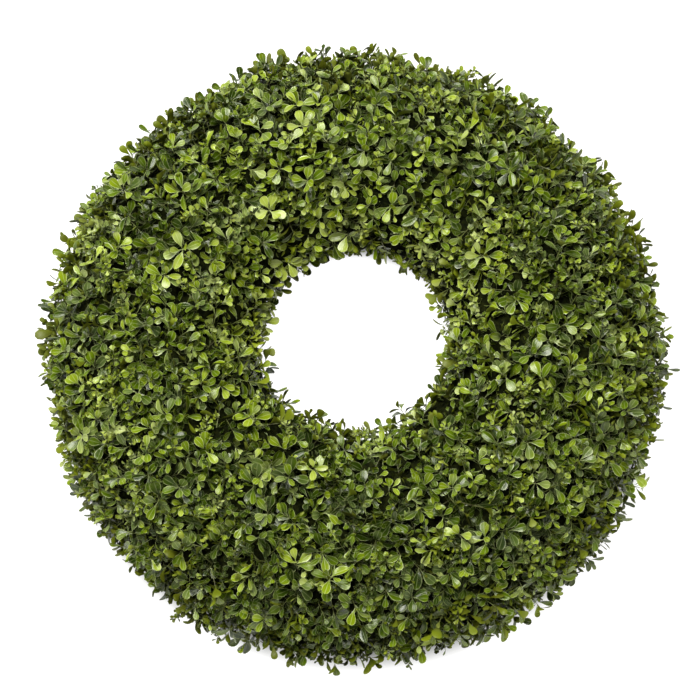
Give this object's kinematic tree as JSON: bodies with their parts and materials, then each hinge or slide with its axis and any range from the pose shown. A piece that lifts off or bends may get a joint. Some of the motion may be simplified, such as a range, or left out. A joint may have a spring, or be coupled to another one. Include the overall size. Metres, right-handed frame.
{
  "type": "boxwood wreath",
  "caption": "Round boxwood wreath: dense sprigs of small satin leaves standing out all round a flat-backed ring of wound vine, with an open middle.",
  "frame": {"origin": "middle of the wreath's footprint, on the plane of its flat back", "axes": "+Z from the back out through the leafy front, +Y towards the wreath's top when it hangs, +X to the right as seen from the front"},
  "size_m": [0.5988, 0.5958, 0.1512],
  "materials": {
    "vine": "rough bark",
    "deep_leaf": "satin waxy leaf",
    "mid_leaf": "satin waxy leaf",
    "fresh_leaf": "satin waxy leaf"
  },
  "bodies": {
    "root": {"vine_ring": "vine", "outer_bunch_01": "mid_leaf", "outer_bunch_02": "deep_leaf", "outer_bunch_03": "fresh_leaf", "outer_bunch_04": "mid_leaf", "outer_bunch_05": "deep_leaf", "outer_bunch_06": "fresh_leaf", "outer_bunch_07": "mid_leaf", "outer_bunch_08": "deep_leaf", "outer_bunch_09": "fresh_leaf", "outer_bunch_10": "mid_leaf", "outer_bunch_11": "deep_leaf", "outer_bunch_12": "fresh_leaf", "outer_bunch_13": "mid_leaf", "outer_bunch_14": "deep_leaf", "outer_bunch_15": "fresh_leaf", "outer_bunch_16": "mid_leaf", "outer_bunch_17": "deep_leaf", "outer_bunch_18": "fresh_leaf", "outer_bunch_19": "mid_leaf", "outer_bunch_20": "deep_leaf", "front_bunch_01": "fresh_leaf", "front_bunch_02": "mid_leaf", "front_bunch_03": "deep_leaf", "front_bunch_04": "fresh_leaf", "front_bunch_05": "mid_leaf", "front_bunch_06": "deep_leaf", "front_bunch_07": "fresh_leaf", "front_bunch_08": "mid_leaf", "front_bunch_09": "deep_leaf", "front_bunch_10": "fresh_leaf", "front_bunch_11": "mid_leaf", "front_bunch_12": "deep_leaf", "front_bunch_13": "fresh_leaf", "front_bunch_14": "mid_leaf", "front_bunch_15": "deep_leaf", "front_bunch_16": "fresh_leaf", "front_bunch_17": "mid_leaf", "front_bunch_18": "deep_leaf", "front_bunch_19": "fresh_leaf", "front_bunch_20": "mid_leaf", "inner_bunch_01": "deep_leaf", "inner_bunch_02": "fresh_leaf", "inner_bunch_03": "mid_leaf", "inner_bunch_04": "deep_leaf", "inner_bunch_05": "fresh_leaf", "inner_bunch_06": "mid_leaf", "inner_bunch_07": "deep_leaf", "inner_bunch_08": "fresh_leaf", "inner_bunch_09": "mid_leaf", "inner_bunch_10": "deep_leaf"}
  },
  "joints": []
}
